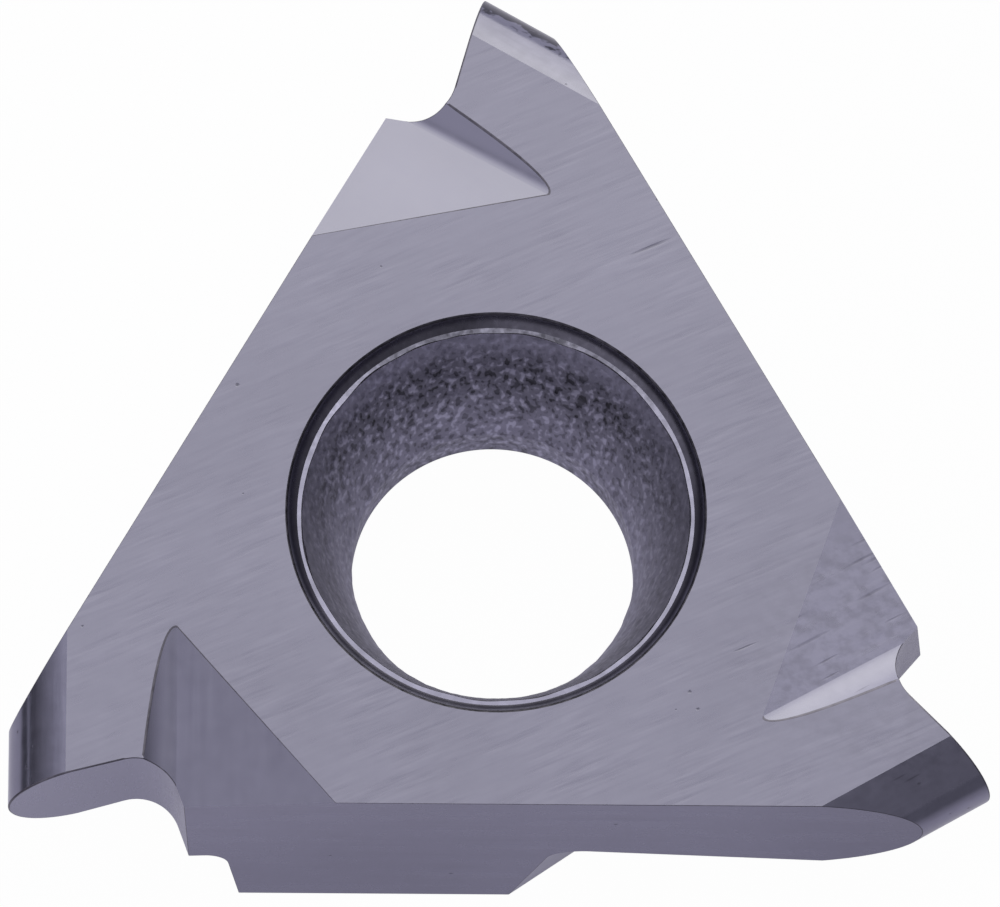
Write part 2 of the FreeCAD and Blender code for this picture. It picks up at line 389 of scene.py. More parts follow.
wheels = [nose_wheel, relief_wheel, notch_wheel, pocket_wheel]
cutters = [cut(blank, core)]
for tool in wheels:
    for corner in range(CORNERS):
        cutters.append(cut(blank, tool, math.tau * corner / CORNERS))
bpy.context.view_layer.update()
depsgraph = bpy.context.evaluated_depsgraph_get()
ground = bpy.data.meshes.new_from_object(blank.evaluated_get(depsgraph))
ground.name = "insert_body"
for spent in cutters + wheels + [core, blank]:
    bpy.data.objects.remove(spent)
print("ground body has", len(ground.polygons), "faces")

# %% [markdown]
# ## Cleaning the cuts
# Where many cuts meet, a Boolean leaves doubled points and flat faces split for no reason.
# They are merged first, since later steps bevel the edges and need them whole. Then each edge
# is made sharp or smooth. A sharp edge is one between two finishes or with a clear bend; the
# steps of an arc bend by less and shade as one round.

# %% Merge, flatten and mark the edges
MERGE = 0.002
FLAT = math.radians(0.05)
SHARP = math.radians(12)

bm = bmesh.new()
bm.from_mesh(ground)
bmesh.ops.remove_doubles(bm, verts=bm.verts, dist=MERGE)
bmesh.ops.dissolve_degenerate(bm, edges=bm.edges, dist=MERGE / 4)
bmesh.ops.dissolve_limit(bm, verts=bm.verts, edges=bm.edges, angle_limit=FLAT, delimit={"MATERIAL"})
bm.normal_update()
open_edges = [edge for edge in bm.edges if len(edge.link_faces) != 2]
for face in bm.faces:
    face.smooth = True
for edge in bm.edges:
    sides = {face.material_index for face in edge.link_faces}
    edge.smooth = len(sides) == 1 and edge.calc_face_angle(0) < SHARP
print("open edges", len(open_edges), "faces", len(bm.faces),
      "volume in mm3", round(bm.calc_volume(), 2))

# %% [markdown]
# ## The sintered skin
# The seat was never ground. A pressed and sintered wall is dull and slightly lumpy, like fine
# orange peel, and its mouth is not quite true. The fine grain can wait for the material, but
# lumps that catch the light are real shape, so the rings of the seat are pushed in and out
# along their normals by smooth noise. `noise` has no random state, so every run is the same.

# %% Push the seat's skin in and out
LUMP_HEIGHT = 0.014
LUMP_SIZE = 0.30
GRAIN_HEIGHT = 0.009
GRAIN_SIZE = 0.17
GRAIN_SHIFT = Vector((7, 3, 5))
MOUTH_WANDER = 0.045
MOUTH_SIZE = 3 * LUMP_SIZE
BACK_CLEAR = 0.05

seat_number = slot_of["seat_sintered"]
land_number = slot_of["mouth_land"]
moved = 0
for vert in bm.verts:
    around = {face.material_index for face in vert.link_faces}
    if around == {seat_number} and vert.co.z > BACK_CLEAR:
        lump = noise.noise(vert.co / LUMP_SIZE) * LUMP_HEIGHT
        grain = noise.noise(vert.co / GRAIN_SIZE + GRAIN_SHIFT) * GRAIN_HEIGHT
        vert.co += vert.normal * (lump + grain)
        moved += 1
    elif around == {seat_number, land_number}:
        sideways = Vector((vert.co.x, vert.co.y, 0)).normalized()
        vert.co += sideways * noise.noise(vert.co / MOUTH_SIZE) * MOUTH_WANDER
print("skin points moved", moved)

# %% [markdown]
# ## A map that follows the wheel
# Grinding marks run the way the wheel ran, and that differs from face to face. A texture on
# object coordinates could be turned only one way. So each finish gets its own directions, and
# a UV map in millimetres stores for every point how far it lies along the marks and how far
# across them. On the nose, the distance across is measured round the arc, so the marks keep
# their width there.

# %% Directions of the marks
FACE_MARKS = math.radians(24)
BACK_MARKS = math.radians(-35)
TO_FIRST_CORNER = math.radians(147)
ROW_APART = 37.0


def along(angle):
    """The direction in the plate's plane at this angle from X."""
    return Vector((math.cos(angle), math.sin(angle), 0))


def marks_at(point, finish):
    """How far a point lies along the grinding marks and across them, in millimetres."""
    if finish == "front_ground":
        return point.dot(along(FACE_MARKS)), point.dot(along(FACE_MARKS + math.pi / 2))
    if finish == "back_ground":
        return point.dot(along(BACK_MARKS)), point.dot(along(BACK_MARKS + math.pi / 2))
    if finish == "nose_ground":
        round_angle = math.atan2(point.z - NOSE_AXIS_Z, NOSE_AXIS_X - point.x)
        return point.y, NOSE_RADIUS * round_angle
    if finish == "notch_ground":
        return point.z, point.x
    if finish == "side_ground":
        return point.x, point.z
    return point.y, point.x


def corner_of(face):
    """Which of the three like corners or sides a face belongs to."""
    middle = face.calc_center_median()
    if FINISHES[face.material_index] == "side_ground":
        heading = math.atan2(face.normal.y, face.normal.x) + math.pi / 2
    else:
        heading = math.atan2(middle.y, middle.x) + TO_FIRST_CORNER
    return round(heading / math.tau * CORNERS) % CORNERS


bm.normal_update()
grind = bm.loops.layers.uv.get("grind") or bm.loops.layers.uv.new("grind")
corner_faces = [0] * CORNERS
for face in bm.faces:
    finish = FINISHES[face.material_index]
    whole = finish in ("front_ground", "back_ground")
    corner = 0 if whole else corner_of(face)
    corner_faces[corner] += 0 if whole else 1
    back = Matrix.Rotation(-math.tau * corner / CORNERS, 4, "Z")
    for loop in face.loops:
        u, v = marks_at(back @ loop.vert.co, finish)
        loop[grind].uv = (u + ROW_APART * corner, v + ROW_APART * face.material_index)
print("faces by corner", corner_faces)

# %% [markdown]
# ## Honed edges
# No real edge is infinitely sharp. A brush hones each edge round by a few hundredths of a
# millimetre, and its faces are given a dark finish, which draws the thin dark lines along the
# object's edges and outline. A Bevel modifier does it from an edge's own weight, so the shape
# stays editable, and gives the new faces their own finish. Only edges that stick out are reached
# by the brush. The rim and the cutting edges get the most, then the pocket's deep side, though not
# its last step beside the notch, where two rounds would meet in a spike. The shallow edge between
# the pocket's floor and the front face gets a trace, which the used corner has lost again.

# %% Weights for the hone, then the finished piece
HONE = 0.05
CLEAR_BEND = math.radians(24)
HEAVY = 0.8
DEEP_SIDE = (0.3, 0.7)
TRACE = 0.13
OF_SIDE = 0.22
OF_OTHERS = 0.35


def hone_share(finishes, at_ends, bend, used):
    """How much of the full hone an edge gets, from the finishes beside it and at its ends."""
    if finishes in ({"front_ground", "rim_sintered"}, {"nose_ground", "notch_ground"}):
        return HEAVY
    if finishes == {"front_ground", "pocket_round"}:
        return 0.0 if "notch_ground" in at_ends else min(DEEP_SIDE[1], DEEP_SIDE[0] + bend)
    if finishes == {"front_ground", "pocket_ground"}:
        return 0.0 if used else TRACE
    if "pocket_ground" in finishes or bend < CLEAR_BEND:
        return 0.0
    return OF_SIDE if "side_ground" in finishes else OF_OTHERS


weights = bm.edges.layers.float
weight = weights.get("bevel_weight_edge") or weights.new("bevel_weight_edge")
honed = 0
for edge in bm.edges:
    if edge.is_convex:
        around = {FINISHES[face.material_index] for face in edge.link_faces}
        at_ends = {FINISHES[face.material_index] for vert in edge.verts for face in vert.link_faces}
        middle = (edge.verts[0].co + edge.verts[1].co) / 2
        used = (middle - USED_CORNER).length < WORN_REACH
        edge[weight] = hone_share(around, at_ends, edge.calc_face_angle(0), used)
        honed += edge[weight] > 0
bmesh.ops.scale(bm, vec=(MM, MM, MM), verts=bm.verts)
bm.to_mesh(ground)
bm.free()

insert = new_object("insert_body", ground)
hone = insert.modifiers.new("hone", "BEVEL")
hone.limit_method = "WEIGHT"
hone.offset_type = "OFFSET"
hone.width = HONE * MM
hone.segments = 3
hone.profile = 0.5
hone.use_clamp_overlap = False
hone.harden_normals = True
hone.material = ground.materials.find("honed_edge")
print("honed edges", honed, "slots", [material.name for material in ground.materials])

# %% [markdown]
# ## Building materials from named parts
# A finish is a small network of nodes. Two helpers keep the networks readable: `add` places a
# node and feeds its inputs, either with a number or with another node's output, and
# `new_group` makes a group with named inputs and outputs. The short ones below stand for what
# is needed again and again, such as a product or a noise. What several finishes share, such as
# the marks of a wheel, is made once as a group and placed in each with its own values.

# %% Helpers for nodes
def new_tree(owner):
    """The emptied node tree of a material or of the world."""
    owner.use_nodes = True
    owner.node_tree.nodes.clear()
    return owner.node_tree


def add(tree, kind, feeds=None, **settings):
    """Adds a node; settings are its own options, feeds its inputs by name or number."""
    made = tree.nodes.new(kind)
    for name, value in settings.items():
        setattr(made, name, value)
    for name, value in (feeds or {}).items():
        if isinstance(value, bpy.types.NodeSocket):
            tree.links.new(value, made.inputs[name])
        else:
            made.inputs[name].default_value = value
    return made


def math_node(tree, operation, *values):
    """One calculation with numbers or outputs, and its result."""
    return add(tree, "ShaderNodeMath", dict(enumerate(values)), operation=operation).outputs[0]


def times(value, other):
    """A node's output times a number or another output."""
    return math_node(value.id_data, "MULTIPLY", value, other)


def vector_node(tree, operation, *vectors):
    """One calculation with vectors; a length or distance comes out as a number."""
    made = add(tree, "ShaderNodeVectorMath", dict(enumerate(vectors)), operation=operation)
    gives_number = operation in ("LENGTH", "DISTANCE", "DOT_PRODUCT")
    return made.outputs["Value" if gives_number else "Vector"]


def new_group(name, inputs, outputs):
    """A shader group; inputs and outputs are (name, socket type, start value)."""
    tree = bpy.data.node_groups.new(name, "ShaderNodeTree")
    for label, kind, value in inputs:
        socket = tree.interface.new_socket(label, in_out="INPUT", socket_type="NodeSocket" + kind)
        if value is not None:
            socket.default_value = value
    for label, kind in outputs:
        tree.interface.new_socket(label, in_out="OUTPUT", socket_type="NodeSocket" + kind)
    return tree, tree.nodes.new("NodeGroupInput").outputs, tree.nodes.new("NodeGroupOutput")


def put_out(result, **values):
    """Links values to a group's own outputs by name."""
    for label, value in values.items():
        result.id_data.links.new(value, result.inputs[label])


def place_group(tree, group, feeds):
    """Places a finished group in a tree."""
    return add(tree, "ShaderNodeGroup", feeds, node_tree=group)


def scaled(vector, along_size, across_size, deep_size=1.0):
    """Divides a vector by three sizes, so that a noise of scale 1 has marks that big."""
    sizes = add(vector.id_data, "ShaderNodeCombineXYZ", {
        "X": along_size, "Y": across_size, "Z": deep_size}).outputs[0]
    return vector_node(vector.id_data, "DIVIDE", vector, sizes)


def soft_noise(vector, detail, roughness=0.5):
    """Noise around 0.5 whose marks are about one unit of the vector."""
    return add(vector.id_data, "ShaderNodeTexNoise", {
        "Vector": vector, "Scale": 1.0, "Detail": detail, "Roughness": roughness}).outputs["Fac"]


def ramp(value, start, end, low=0.0, high=1.0, kind="SMOOTHSTEP"):
    """Goes from the low level to the high one while the value goes from start to end."""
    return add(value.id_data, "ShaderNodeMapRange", {
        "Value": value, "From Min": start, "From Max": end, "To Min": low, "To Max": high},
        interpolation_type=kind).outputs["Result"]


def blend_colour(share, start, end):
    """Mixes two colours; the mix node numbers its colour sockets 6 and 7, and its output 2."""
    return add(share.id_data, "ShaderNodeMix", {
        0: share, 6: start, 7: end}, data_type="RGBA").outputs[2]


print("helpers ready")

# %% [markdown]
# ## Grinding marks
# A wheel's grits leave long, fine, nearly straight streaks that start and stop. Noise that is
# stretched far more along the map than across it looks just so. Two layers are mixed, broad
# under narrow, because one layer alone looks like wood grain, and a soft noise makes them
# strong in one patch and faint in the next, as the wheel's pressure does. The group gives one
# tone, which serves colour and roughness and, as a height, the bump.

# %% Group: grinding marks
NARROW_WIDTH = 0.36
NARROW_DEEP = 0.4
NARROW_SHARE = 0.3
PATCH_SIZES = (1.6, 0.9, 0.3)
PATCH_RANGE = (0.35, 0.65)
PATCH_LEVELS = (0.45, 1.4)
marks_group, given, result = new_group("grinding_marks", [
    ("Map", "Vector", None), ("Length", "Float", 3.0), ("Width", "Float", 0.1),
    ("Shift", "Float", 0.0)], [("Tone", "Float")])
lift = add(marks_group, "ShaderNodeCombineXYZ", {"Z": given["Shift"]}).outputs[0]
lifted = vector_node(marks_group, "ADD", given["Map"], lift)
broad = soft_noise(scaled(lifted, given["Length"], given["Width"]), detail=1.5)
narrow_width = times(given["Width"], NARROW_WIDTH)
narrow_map = scaled(lifted, given["Length"], narrow_width, NARROW_DEEP)
narrow = soft_noise(narrow_map, detail=1.0)
both = add(marks_group, "ShaderNodeMix", {
    "Factor": NARROW_SHARE, "A": broad, "B": narrow}).outputs[0]
patch_noise = soft_noise(scaled(lifted, *PATCH_SIZES), detail=1.0)
patch = ramp(patch_noise, *PATCH_RANGE, *PATCH_LEVELS)
swing = times(math_node(marks_group, "SUBTRACT", both, 0.5), patch)
put_out(result, Tone=math_node(marks_group, "ADD", swing, 0.5))
print("grinding marks group has", len(marks_group.nodes), "nodes")

# %% [markdown]
# ## Cloudy tone
# Under the marks the metal is a little cloudy, since the wheel presses unevenly and coolant
# leaves a film. It is a soft noise on object coordinates. Those are in metres here, so the
# group divides them by the size of one cloud. The same group serves twice in most finishes,
# with large clouds and with a small mottle.

# %% Group: cloudy tone
cloud_group, given, result = new_group("cloudy_tone", [
    ("Position", "Vector", None), ("Size", "Float", 2.0 * MM)], [("Tone", "Float")])
cloud_map = scaled(given["Position"], given["Size"], given["Size"], given["Size"])
put_out(result, Tone=soft_noise(cloud_map, detail=2.0, roughness=0.55))


def cloudy(position, size):
    """Places the group where the position comes from, with clouds of this size."""
    return place_group(position.id_data, cloud_group, {"Position": position, "Size": size}).outputs[0]


print("cloudy tone group has", len(cloud_group.nodes), "nodes")

# %% [markdown]
# ## Nicks and scratches
# Sintered carbide has a few open pores, and handling leaves nicks and short scratches. A Voronoi
# pattern scatters one point in each cell of the map; a mark is drawn around the point where a
# random number of the cell is low enough, so most cells stay clean. Long cells give scratches
# and square ones give nicks. A second random number sizes each mark, and a noise bends it.

# %% Group: nicks and scratches
WOBBLE_SCALE = 7.0
WOBBLE = (0.12, 0.12, 0.0)
SMALLEST = 0.4
CORE_SHARE = 0.3
nick_group, given, result = new_group("nicks_and_scratches", [
    ("Map", "Vector", None), ("Length", "Float", 0.5), ("Width", "Float", 0.5),
    ("Dot", "Float", 0.15), ("Share", "Float", 0.1)], [("Mask", "Float")])
nick_map = scaled(given["Map"], given["Length"], given["Width"])
wobble = add(nick_group, "ShaderNodeTexNoise", {
    "Vector": nick_map, "Scale": WOBBLE_SCALE, "Detail": 1.0}).outputs["Color"]
bent = vector_node(nick_group, "MULTIPLY_ADD", wobble, WOBBLE, nick_map)
cells = add(nick_group, "ShaderNodeTexVoronoi", {"Vector": bent, "Scale": 1.0, "Randomness": 1.0},
            voronoi_dimensions="2D")
chance = add(nick_group, "ShaderNodeSeparateColor", {"Color": cells.outputs["Color"]}).outputs
chosen = math_node(nick_group, "LESS_THAN", chance["Red"], given["Share"])
reach = times(given["Dot"], ramp(chance["Green"], 0.0, 1.0, SMALLEST, 1.0))
dot = ramp(cells.outputs["Distance"], times(reach, CORE_SHARE), reach, 1.0, 0.0, "LINEAR")
put_out(result, Mask=times(dot, chosen))
print("nicks and scratches group has", len(nick_group.nodes), "nodes")

# %% [markdown]
# ## Worn places
# One corner has done some cutting: its pocket and nose are scuffed by chips, while the other
# corners are nearly fresh. The mask is one around that corner and fades out within a few
# millimetres. The group gives it plain, and also broken up into soft blotches by a noise. The
# crest of the top nose, its cutting edge, is darker in a ragged band; a dot product says how
# far out on that nose a point lies. So each finish can ask how worn it is at a point.

# %% Group: wear around the used corner, and a dark band on the top nose
TOP_NOSE = (0.5, 0.866, 0.0)
RAGGED = 0.9 * MM
CREST = (10.02 * MM, 10.16 * MM)
WORN_CORE = 1.6 * MM
BLOTCH_SIZES = (0.30 * MM, 0.24 * MM, 0.24 * MM)
BLOTCH_RANGE = (0.34, 0.74)
worn_group, given, result = new_group("worn_places", [("Position", "Vector", None)], [
    ("Blotches", "Float"), ("Near", "Float"), ("Crest", "Float")])
away = vector_node(worn_group, "DISTANCE", given["Position"], USED_CORNER * MM)
blotch = soft_noise(scaled(given["Position"], *BLOTCH_SIZES), detail=2.0, roughness=0.6)
near = ramp(away, WORN_REACH * MM, WORN_CORE)
outwards = vector_node(worn_group, "DOT_PRODUCT", given["Position"], TOP_NOSE)
ragged = math_node(worn_group, "MULTIPLY_ADD", blotch, RAGGED, outwards)
put_out(result, Blotches=times(near, ramp(blotch, *BLOTCH_RANGE)), Near=near,
        Crest=ramp(ragged, *CREST))
print("worn places group has", len(worn_group.nodes), "nodes")

# %% [markdown]
# ## Sinter grain
# The skin of the hole is grey and lumpy, with small dark pits of all shapes between the lumps.
# Round Voronoi cells look like bubbles here, so a noise is used, bent by a second one, and two
# of its levels are cut out: low spots are pits and high spots are bright tops. The core pin of
# the press slides along the hole, so the grain is longer that way.

# %% Group: sinter grain
SWAY = (0.3, 0.3, 0.3)
SWAY_SCALE = 0.6
PIT_RANGE = (0.46, 0.35)
TOP_RANGE = (0.53, 0.68)
grain_group, given, result = new_group("sinter_grain", [
    ("Position", "Vector", None), ("Grain", "Float", 0.13 * MM), ("Draw", "Float", 1.7),
], [("Height", "Float"), ("Dark", "Float"), ("Bright", "Float")])
drawn_size = times(given["Grain"], given["Draw"])
grain_map = scaled(given["Position"], given["Grain"], given["Grain"], drawn_size)
sway = add(grain_group, "ShaderNodeTexNoise", {
    "Vector": grain_map, "Scale": SWAY_SCALE, "Detail": 0.0}).outputs["Color"]
bent = vector_node(grain_group, "MULTIPLY_ADD", sway, SWAY, grain_map)
height = soft_noise(bent, detail=1.4)
put_out(result, Height=height, Dark=ramp(height, *PIT_RANGE), Bright=ramp(height, *TOP_RANGE))
print("sinter grain group has", len(grain_group.nodes), "nodes")

# %% [markdown]
# ## Ground carbide
# Ground carbide is a metal-like grey with a violet cast. It is fully metallic, so all it shows
# is what it mirrors, blurred by its roughness. The marks work three ways: they darken and
# lighten the colour a little, change the roughness, and bend the light through a bump, which
# makes them flash when the part turns. Sizes here are in millimetres. A share says by how much
# an effect can change the colour, ROUGHENS by how much it changes the roughness, and DEEP how
# far it goes into the bump, each for one effect.

# %% Ground finishes
CARBIDE = (0.300, 0.294, 0.378)
NICK_SHARE = 0.35
SCRATCH_SHARE = 0.26
WORN_SCRATCHES = 1.5
CREST_SHARE = 0.75
CLOUD_SIZE = 4.2
MOTTLE_SIZE = 0.36
NICK_CELL = {"Length": 0.42, "Width": 0.34, "Dot": 0.13}
SCRATCH_CELL = {"Length": 1.8, "Width": 0.15, "Dot": 0.30}
ROUGHENS = {"marks": 0.16, "mottle": 0.10, "nick": 0.2, "worn": 0.04}
DEEP = {"nick": -0.8, "scratch": -0.5}
SHIFT_STEP = 3.0
# Painted shade: the side walls' colour is darker, as they face down, away from the light.
SIDE_PAINTED_SHADE = 0.88


def summed(tree, start, parts):
    """Adds (value, weight, middle) parts to a start number, each measured from its middle."""
    total = start - sum(amount * middle for value, amount, middle in parts)
    for value, amount, middle in parts:
        total = math_node(tree, "MULTIPLY_ADD", value, amount, total)
    return total


def finish_with(tree, colour, level, rough, height, depth):
    """Ends a metal finish: colour times level, roughness, and a bump of this depth in mm."""
    tinted = add(tree, "ShaderNodeVectorMath", {
        0: colour, "Scale": level}, operation="SCALE").outputs[0]
    bump = add(tree, "ShaderNodeBump", {
        "Strength": 1.0, "Distance": depth * MM, "Height": height}).outputs[0]
    shader = add(tree, "ShaderNodeBsdfPrincipled", {
        "Base Color": tinted, "Metallic": 1.0, "Roughness": rough, "Normal": bump}).outputs[0]
    add(tree, "ShaderNodeOutputMaterial", {"Surface": shader})


def ground_finish(name, shift, roughness, length, width, tone, depth, clouds=0.10, mottle=0.06,
                  nicks=0.0, scratches=0.0, wear=0.0, polish=0.0, colour=CARBIDE):
    """Ground carbide with marks of this length and width; shift moves them to a fresh place."""
    tree = new_tree(materials[name])
    mark_map = add(tree, "ShaderNodeUVMap", uv_map="grind").outputs["UV"]
    position = add(tree, "ShaderNodeTexCoord").outputs["Object"]
    marks = place_group(tree, marks_group, {
        "Map": mark_map, "Length": length, "Width": width, "Shift": shift}).outputs[0]
    cloud = cloudy(position, CLOUD_SIZE * MM)
    small = cloudy(position, MOTTLE_SIZE * MM)
    tones = [(marks, 2 * tone, 0.5), (cloud, 2 * clouds, 0.5), (small, 2 * mottle, 0.5)]
    roughs = [(marks, ROUGHENS["marks"], 0.5), (small, ROUGHENS["mottle"], 0.5)]
    heights = [(marks, 1.0, 0)]
    if nicks:
        nick = place_group(tree, nick_group, {
            "Map": mark_map, "Share": nicks, **NICK_CELL}).outputs[0]
        tones.append((nick, -NICK_SHARE, 0))
        roughs.append((nick, ROUGHENS["nick"], 0))
        heights.append((nick, DEEP["nick"], 0))
    if wear:
        worn = place_group(tree, worn_group, {"Position": position}).outputs
        tones += [(worn["Blotches"], -wear, 0), (worn["Near"], polish, 0),
                  (worn["Crest"], -CREST_SHARE, 0)]
        roughs.append((worn["Blotches"], ROUGHENS["worn"], 0))
        scratches = math_node(tree, "MULTIPLY_ADD", worn["Near"], WORN_SCRATCHES * wear, scratches)
    if scratches:
        scratch = place_group(tree, nick_group, {
            "Map": mark_map, "Share": scratches, **SCRATCH_CELL}).outputs[0]
        tones.append((scratch, -SCRATCH_SHARE, 0))
        heights.append((scratch, DEEP["scratch"], 0))
    level = summed(tree, 1.0, tones)
    rough = summed(tree, roughness, roughs)
    height = summed(tree, 0.0, heights)
    finish_with(tree, colour, level, rough, height, depth)


def carbide_times(share):
    """The metal's colour times a share; this paints shade on the sides and a highlight on the land.
    """
    return tuple(share * value for value in CARBIDE)


# Roughness, the marks' length, width and tone, the bump's depth; then what a finish has besides.
GROUND = {
    "front_ground": ((0.29, 1.3, 0.30, 0.14, 0.0042), dict(nicks=0.010, scratches=0.003, wear=0.05)),
    "back_ground": ((0.32, 2.2, 0.28, 0.18, 0.0045), dict(nicks=0.02, scratches=0.02)),
    # The side walls' colour is darkened: painted shade.
    "side_ground": ((0.26, 4.5, 0.36, 0.12, 0.0035),
                    dict(nicks=0.01, colour=carbide_times(SIDE_PAINTED_SHADE))),
    "nose_ground": ((0.17, 1.0, 0.14, 0.10, 0.0016), dict(mottle=0.14, nicks=0.04, wear=0.40)),
    "notch_ground": ((0.26, 1.2, 0.16, 0.08, 0.0016), {}),
    "pocket_ground": ((0.22, 2.2, 0.24, 0.04, 0.0014),
                      dict(mottle=0.02, scratches=0.01, wear=0.22, polish=0.16)),
    "pocket_round": ((0.20, 2.2, 0.24, 0.04, 0.0010),
                     dict(clouds=0.04, mottle=0.03, wear=0.03, polish=0.14)),
    "relief_ground": ((0.30, 3.0, 0.24, 0.14, 0.0035), {}),
}
for number, (name, (marks, besides)) in enumerate(GROUND.items()):
    ground_finish(name, SHIFT_STEP * number, *marks, **besides)
print(len(GROUND), "ground finishes made")

# %% [markdown]
# ## Sintered carbide
# Where no wheel has been, the skin keeps the dull, darker look of the furnace. It is the same
# metal, so it stays metallic, but it is rougher and its grain does the rest. Powder settles
# while it is pressed, so the grain is coarser on one side of the hole; there it is finer again
# next to the mouth, where a painted sheen lightens it. The lower part of the seat is painted
# lighter, a painted reflection of the lit card, and it is a little glossier there. The land at
# the mouth is the smoothest part of the skin and mirrors most; its colour is also painted
# lighter than the ground metal, a painted highlight, and on the coarse side it is darker.

# %% Sintered finishes
SKIN = (0.200, 0.194, 0.246)
RIM_SKIN = (0.135, 0.130, 0.162)
# Painted highlight: the land's colour is lighter than the ground metal, to draw its light ring.
LAND_PAINTED_HIGHLIGHT = 1.3
COARSE = (-0.6 * MM, 3.2 * MM)
# Painted reflection: between these heights the lower seat is painted lighter, and it is glossier.
LOWER_SEAT_SPAN = (3.6 * MM, 1.0 * MM)
AT_MOUTH = (3.5 * MM, 4.3 * MM)
MOUTH_SMOOTH = 0.45
# Painted sheen: it fades in over this range across the hole, near the mouth.
PAINTED_SHEEN = (0.5 * MM, 3.2 * MM)
DULLED = (2.2 * MM, 4.0 * MM)
SKIN_CLOUD = 0.9 * MM
SKIN_MOTTLE = 0.34 * MM
FINE_SIDE = 0.35
CLOUD_SHARE = 0.7
TOP_SHARE = 1.2
PATCHY_SHARE = 1.4
PAINTED_SHEEN_SHARE = 1.6
TOP_GLOSS = -0.12
LOWER_SEAT_GLOSS = -0.06


def sintered_finish(name, colour, roughness, grain, depth, contrast, painted_light=0.0, dull=0.0):
    """Sintered skin with grain of this size; painted light low down and by the mouth, dull darkens
    one side.
    """
    tree = new_tree(materials[name])
    position = add(tree, "ShaderNodeTexCoord").outputs["Object"]
    axes = add(tree, "ShaderNodeSeparateXYZ", {0: position}).outputs
    skin = place_group(tree, grain_group, {"Position": position, "Grain": grain * MM}).outputs
    cloud = cloudy(position, SKIN_CLOUD)
    at_mouth = ramp(axes["Z"], *AT_MOUTH)
    coarse = times(ramp(axes["Y"], *COARSE, FINE_SIDE, 1.0),
                   math_node(tree, "MULTIPLY_ADD", at_mouth, -MOUTH_SMOOTH, 1.0))
    # Painted sheen: near the mouth, on the coarse side, the skin is painted lighter.
    painted_sheen = times(at_mouth, ramp(axes["Y"], *PAINTED_SHEEN))
    # Painted reflection: the lower part of the seat is painted lighter, as if it mirrored the lit
    # card.
    lower_seat = ramp(axes["Z"], *LOWER_SEAT_SPAN)
    dark = times(skin["Dark"], coarse)
    bright = times(skin["Bright"], coarse)
    mottle = cloudy(position, SKIN_MOTTLE)
    patchy = times(math_node(tree, "SUBTRACT", mottle, 0.5), coarse)
    dulled = ramp(axes["Y"], *DULLED)
    level = summed(tree, 1.0, [
        (dark, -contrast, 0), (bright, TOP_SHARE * contrast, 0),
        (patchy, PATCHY_SHARE * contrast, 0), (cloud, CLOUD_SHARE, 0.5),
        (lower_seat, painted_light, 0), (painted_sheen, PAINTED_SHEEN_SHARE * painted_light, 0), (dulled, -dull, 0)])
    rough = summed(tree, roughness, [(bright, TOP_GLOSS, 0), (lower_seat, LOWER_SEAT_GLOSS, 0)])
    finish_with(tree, colour, level, rough, times(skin["Height"], coarse), depth)


sintered_finish("seat_sintered", SKIN, roughness=0.50, grain=0.135, depth=0.030,
                contrast=0.66, painted_light=0.50)
sintered_finish("rim_sintered", RIM_SKIN, roughness=0.30, grain=0.14, depth=0.004,
                contrast=0.20)
# The land gets a painted highlight: its colour is the metal's, lightened.
sintered_finish("mouth_land", carbide_times(LAND_PAINTED_HIGHLIGHT), roughness=0.26, grain=0.16,
                depth=0.004, contrast=0.30, dull=0.55)
print("sintered finishes made")

# %% [markdown]
# ## The honed edge
# The honed faces get a dark colour that is not quite even. A small mottle breaks the thin
# lines up, so that they don't look drawn. The rim of the hole is the darkest; at the used corner
# the edges are painted lighter, painted light for the brighter surroundings they mirror there.

# %% Honed edge
HONED = (0.060, 0.057, 0.070)
HONED_ROUGH = 0.34
HONED_DEPTH = 0.004
UNEVEN_SIZE = 0.22 * MM
UNEVEN_SHARE = 3.0
UNEVEN_ROUGHENS = 0.2
OFF_RIM = (4.5 * MM, 4.7 * MM)
OFF_RIM_SHARE = 1.3
# Painted light: the edges at the used corner are lightened, as they mirror brighter surroundings.
USED_CORNER_PAINTED_LIGHT = 1.1
FLATTEN = (1.0, 1.0, 0.0)

tree = new_tree(materials["honed_edge"])
position = add(tree, "ShaderNodeTexCoord").outputs["Object"]
uneven = cloudy(position, UNEVEN_SIZE)
near_used_corner = place_group(tree, worn_group, {"Position": position}).outputs["Near"]
off_axis = vector_node(tree, "LENGTH", vector_node(tree, "MULTIPLY", position, FLATTEN))
off_rim = ramp(off_axis, *OFF_RIM)
# Near the used corner the honed edges are painted lighter: painted light.
level = summed(tree, 1.0, [
    (uneven, UNEVEN_SHARE, 0.5), (off_rim, OFF_RIM_SHARE, 0), (near_used_corner, USED_CORNER_PAINTED_LIGHT, 0)])
rough = summed(tree, HONED_ROUGH, [(uneven, UNEVEN_ROUGHENS, 0.5)])
finish_with(tree, HONED, level, rough, uneven, HONED_DEPTH)
print("honed edge made")

# %% [markdown]
# ## Studio
# Metal shows its surroundings, so lighting it means giving it something good to mirror. A huge
# soft light stands behind and above the part, a weak one at front left and a weaker one high on
# the right, and the rest of the tent is dim; the horizon is darkest, which draws the dark line
# along each nose. All of that is one gradient in the world, written from the direction of a ray,
# so it stays free of noise. A pair of numbers below says between which two points a level
# changes, along one axis of that direction.

